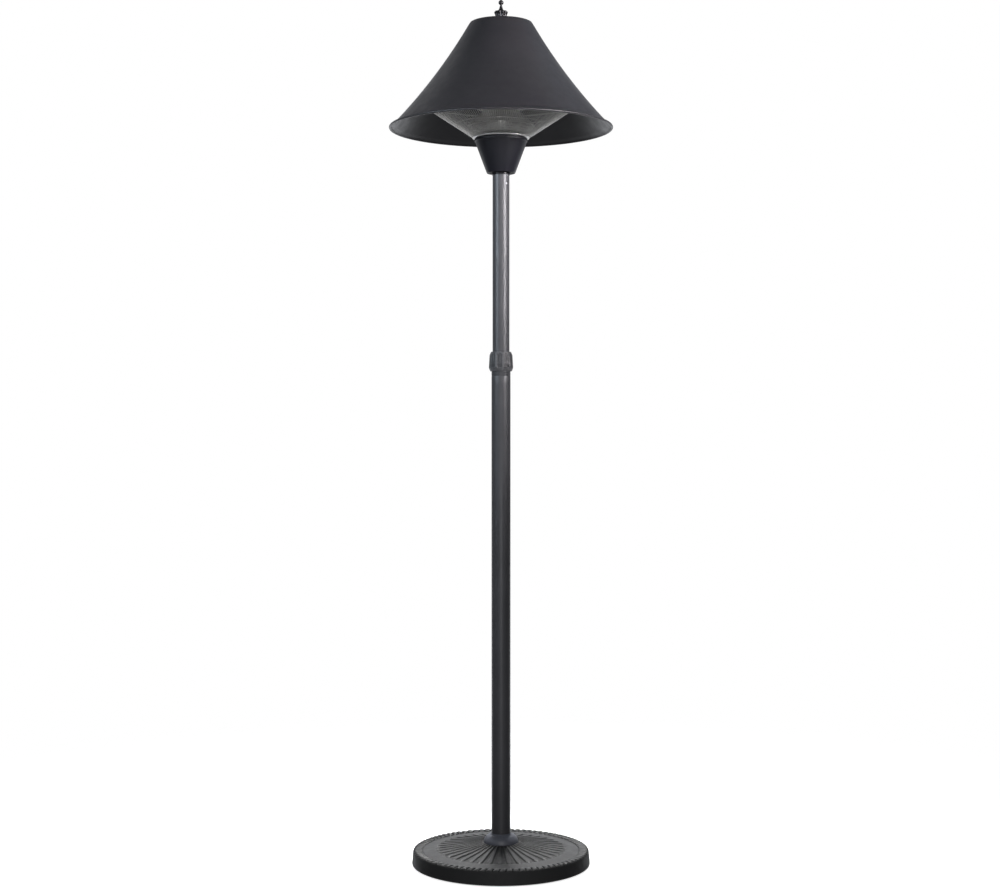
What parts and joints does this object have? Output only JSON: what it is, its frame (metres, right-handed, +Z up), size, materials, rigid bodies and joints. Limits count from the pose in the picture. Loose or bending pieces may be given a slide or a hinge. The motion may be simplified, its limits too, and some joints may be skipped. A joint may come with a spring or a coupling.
{
  "type": "patio heater",
  "caption": "Floor-lamp style electric patio heater: round weighted base, telescopic twist-lock pole, cone-shaped wire guard round a reflector and ring lamp, wide flared shade with finial.",
  "frame": {"origin": "on the floor, under the axis of the pole, at the centre of the base", "axes": "+Z up along the pole, front of the heater towards -Y (switch and cord inlet at the rear, +Y), +X to the right seen from the front"},
  "size_m": [0.5314, 0.5314, 2.053],
  "materials": {
    "shade_coat": "charcoal powder coat, satin",
    "pole_coat": "gunmetal powder coat, satin",
    "base_moulding": "charcoal moulded plastic, satin",
    "collar_moulding": "grey-black moulded plastic",
    "cup_black": "gloss black",
    "bright_plate": "bright plated steel",
    "polished_reflector": "polished aluminium",
    "heat_shield": "dark heat-proof coat, satin",
    "guard_wire": "bright plated steel wire",
    "dark_nickel": "black nickel plate",
    "zinc_steel": "zinc-plated steel",
    "plate_steel": "black painted steel sheet",
    "ballast_cast": "cast concrete",
    "black_rubber": "black rubber",
    "nylon": "black nylon",
    "quartz": "clear quartz glass",
    "tungsten": "coiled tungsten wire",
    "white_ceramic": "unglazed white ceramic",
    "spring_steel": "spring steel",
    "lead_sheath": "black lead sheath",
    "heat_wire": "white heat-proof sleeving",
    "switch_black": "black switch plastic"
  },
  "bodies": {
    "base": {"rubber_feet": "black_rubber", "base_plate": "plate_steel", "base_ballast": "ballast_cast", "base_shell": "base_moulding", "tie_bolt": "zinc_steel", "tie_washer": "zinc_steel", "foot_plug": "zinc_steel", "plug_screws": "zinc_steel", "pole_flange": "base_moulding", "lower_pole": "pole_coat", "cord_grommet": "black_rubber", "lead_coil": "lead_sheath", "lock_sleeve": "nylon"},
    "collar": {"lock_collar": "collar_moulding"},
    "slider": {"guide_bush": "nylon"},
    "head": {"upper_pole": "pole_coat", "neck_plug": "nylon", "neck_ring": "cup_black", "neck_screws": "zinc_steel", "cup": "cup_black", "cup_cover": "bright_plate", "terminal_block": "white_ceramic", "tip_over_switch": "nylon", "lead_upper": "lead_sheath", "switch_body": "switch_black", "stem": "zinc_steel", "stem_nuts": "zinc_steel", "stem_spacer": "zinc_steel", "lower_reflector": "polished_reflector", "reflector_cone": "polished_reflector", "reflector_dish": "heat_shield", "lamp_tube": "quartz", "lamp_filament": "tungsten", "lamp_end_caps": "white_ceramic", "lamp_clips": "spring_steel", "lamp_leads": "heat_wire", "guard": "guard_wire", "guard_clips": "spring_steel", "shade": "shade_coat", "shade_seat": "zinc_steel", "top_washer": "dark_nickel"},
    "finial": {"finial": "dark_nickel"},
    "rocker": {"switch_rocker": "switch_black"}
  },
  "joints": [
    {"name": "height_slide", "type": "slide", "parent": "base", "child": "slider", "axis": [0, 0, 1], "range_m": [-0.38, 0], "deforming": ["lead_coil"]},
    {"name": "head_swivel", "type": "hinge", "parent": "slider", "child": "head", "pos_m": [0, 0, 1.1], "axis": [0, 0, 1], "range_deg": [-170, 170]},
    {"name": "collar_twist", "type": "hinge", "parent": "base", "child": "collar", "pos_m": [0, 0, 1.19], "axis": [0, 0, 1], "range_deg": [0, 180]},
    {"name": "finial_turn", "type": "hinge", "parent": "head", "child": "finial", "pos_m": [0, 0, 2.01], "axis": [0, 0, 1], "continuous": true},
    {"name": "switch_rock", "type": "hinge", "parent": "head", "child": "rocker", "pos_m": [0, 0.051, 1.687], "axis": [1, 0, 0], "range_deg": [0, 16]}
  ]
}
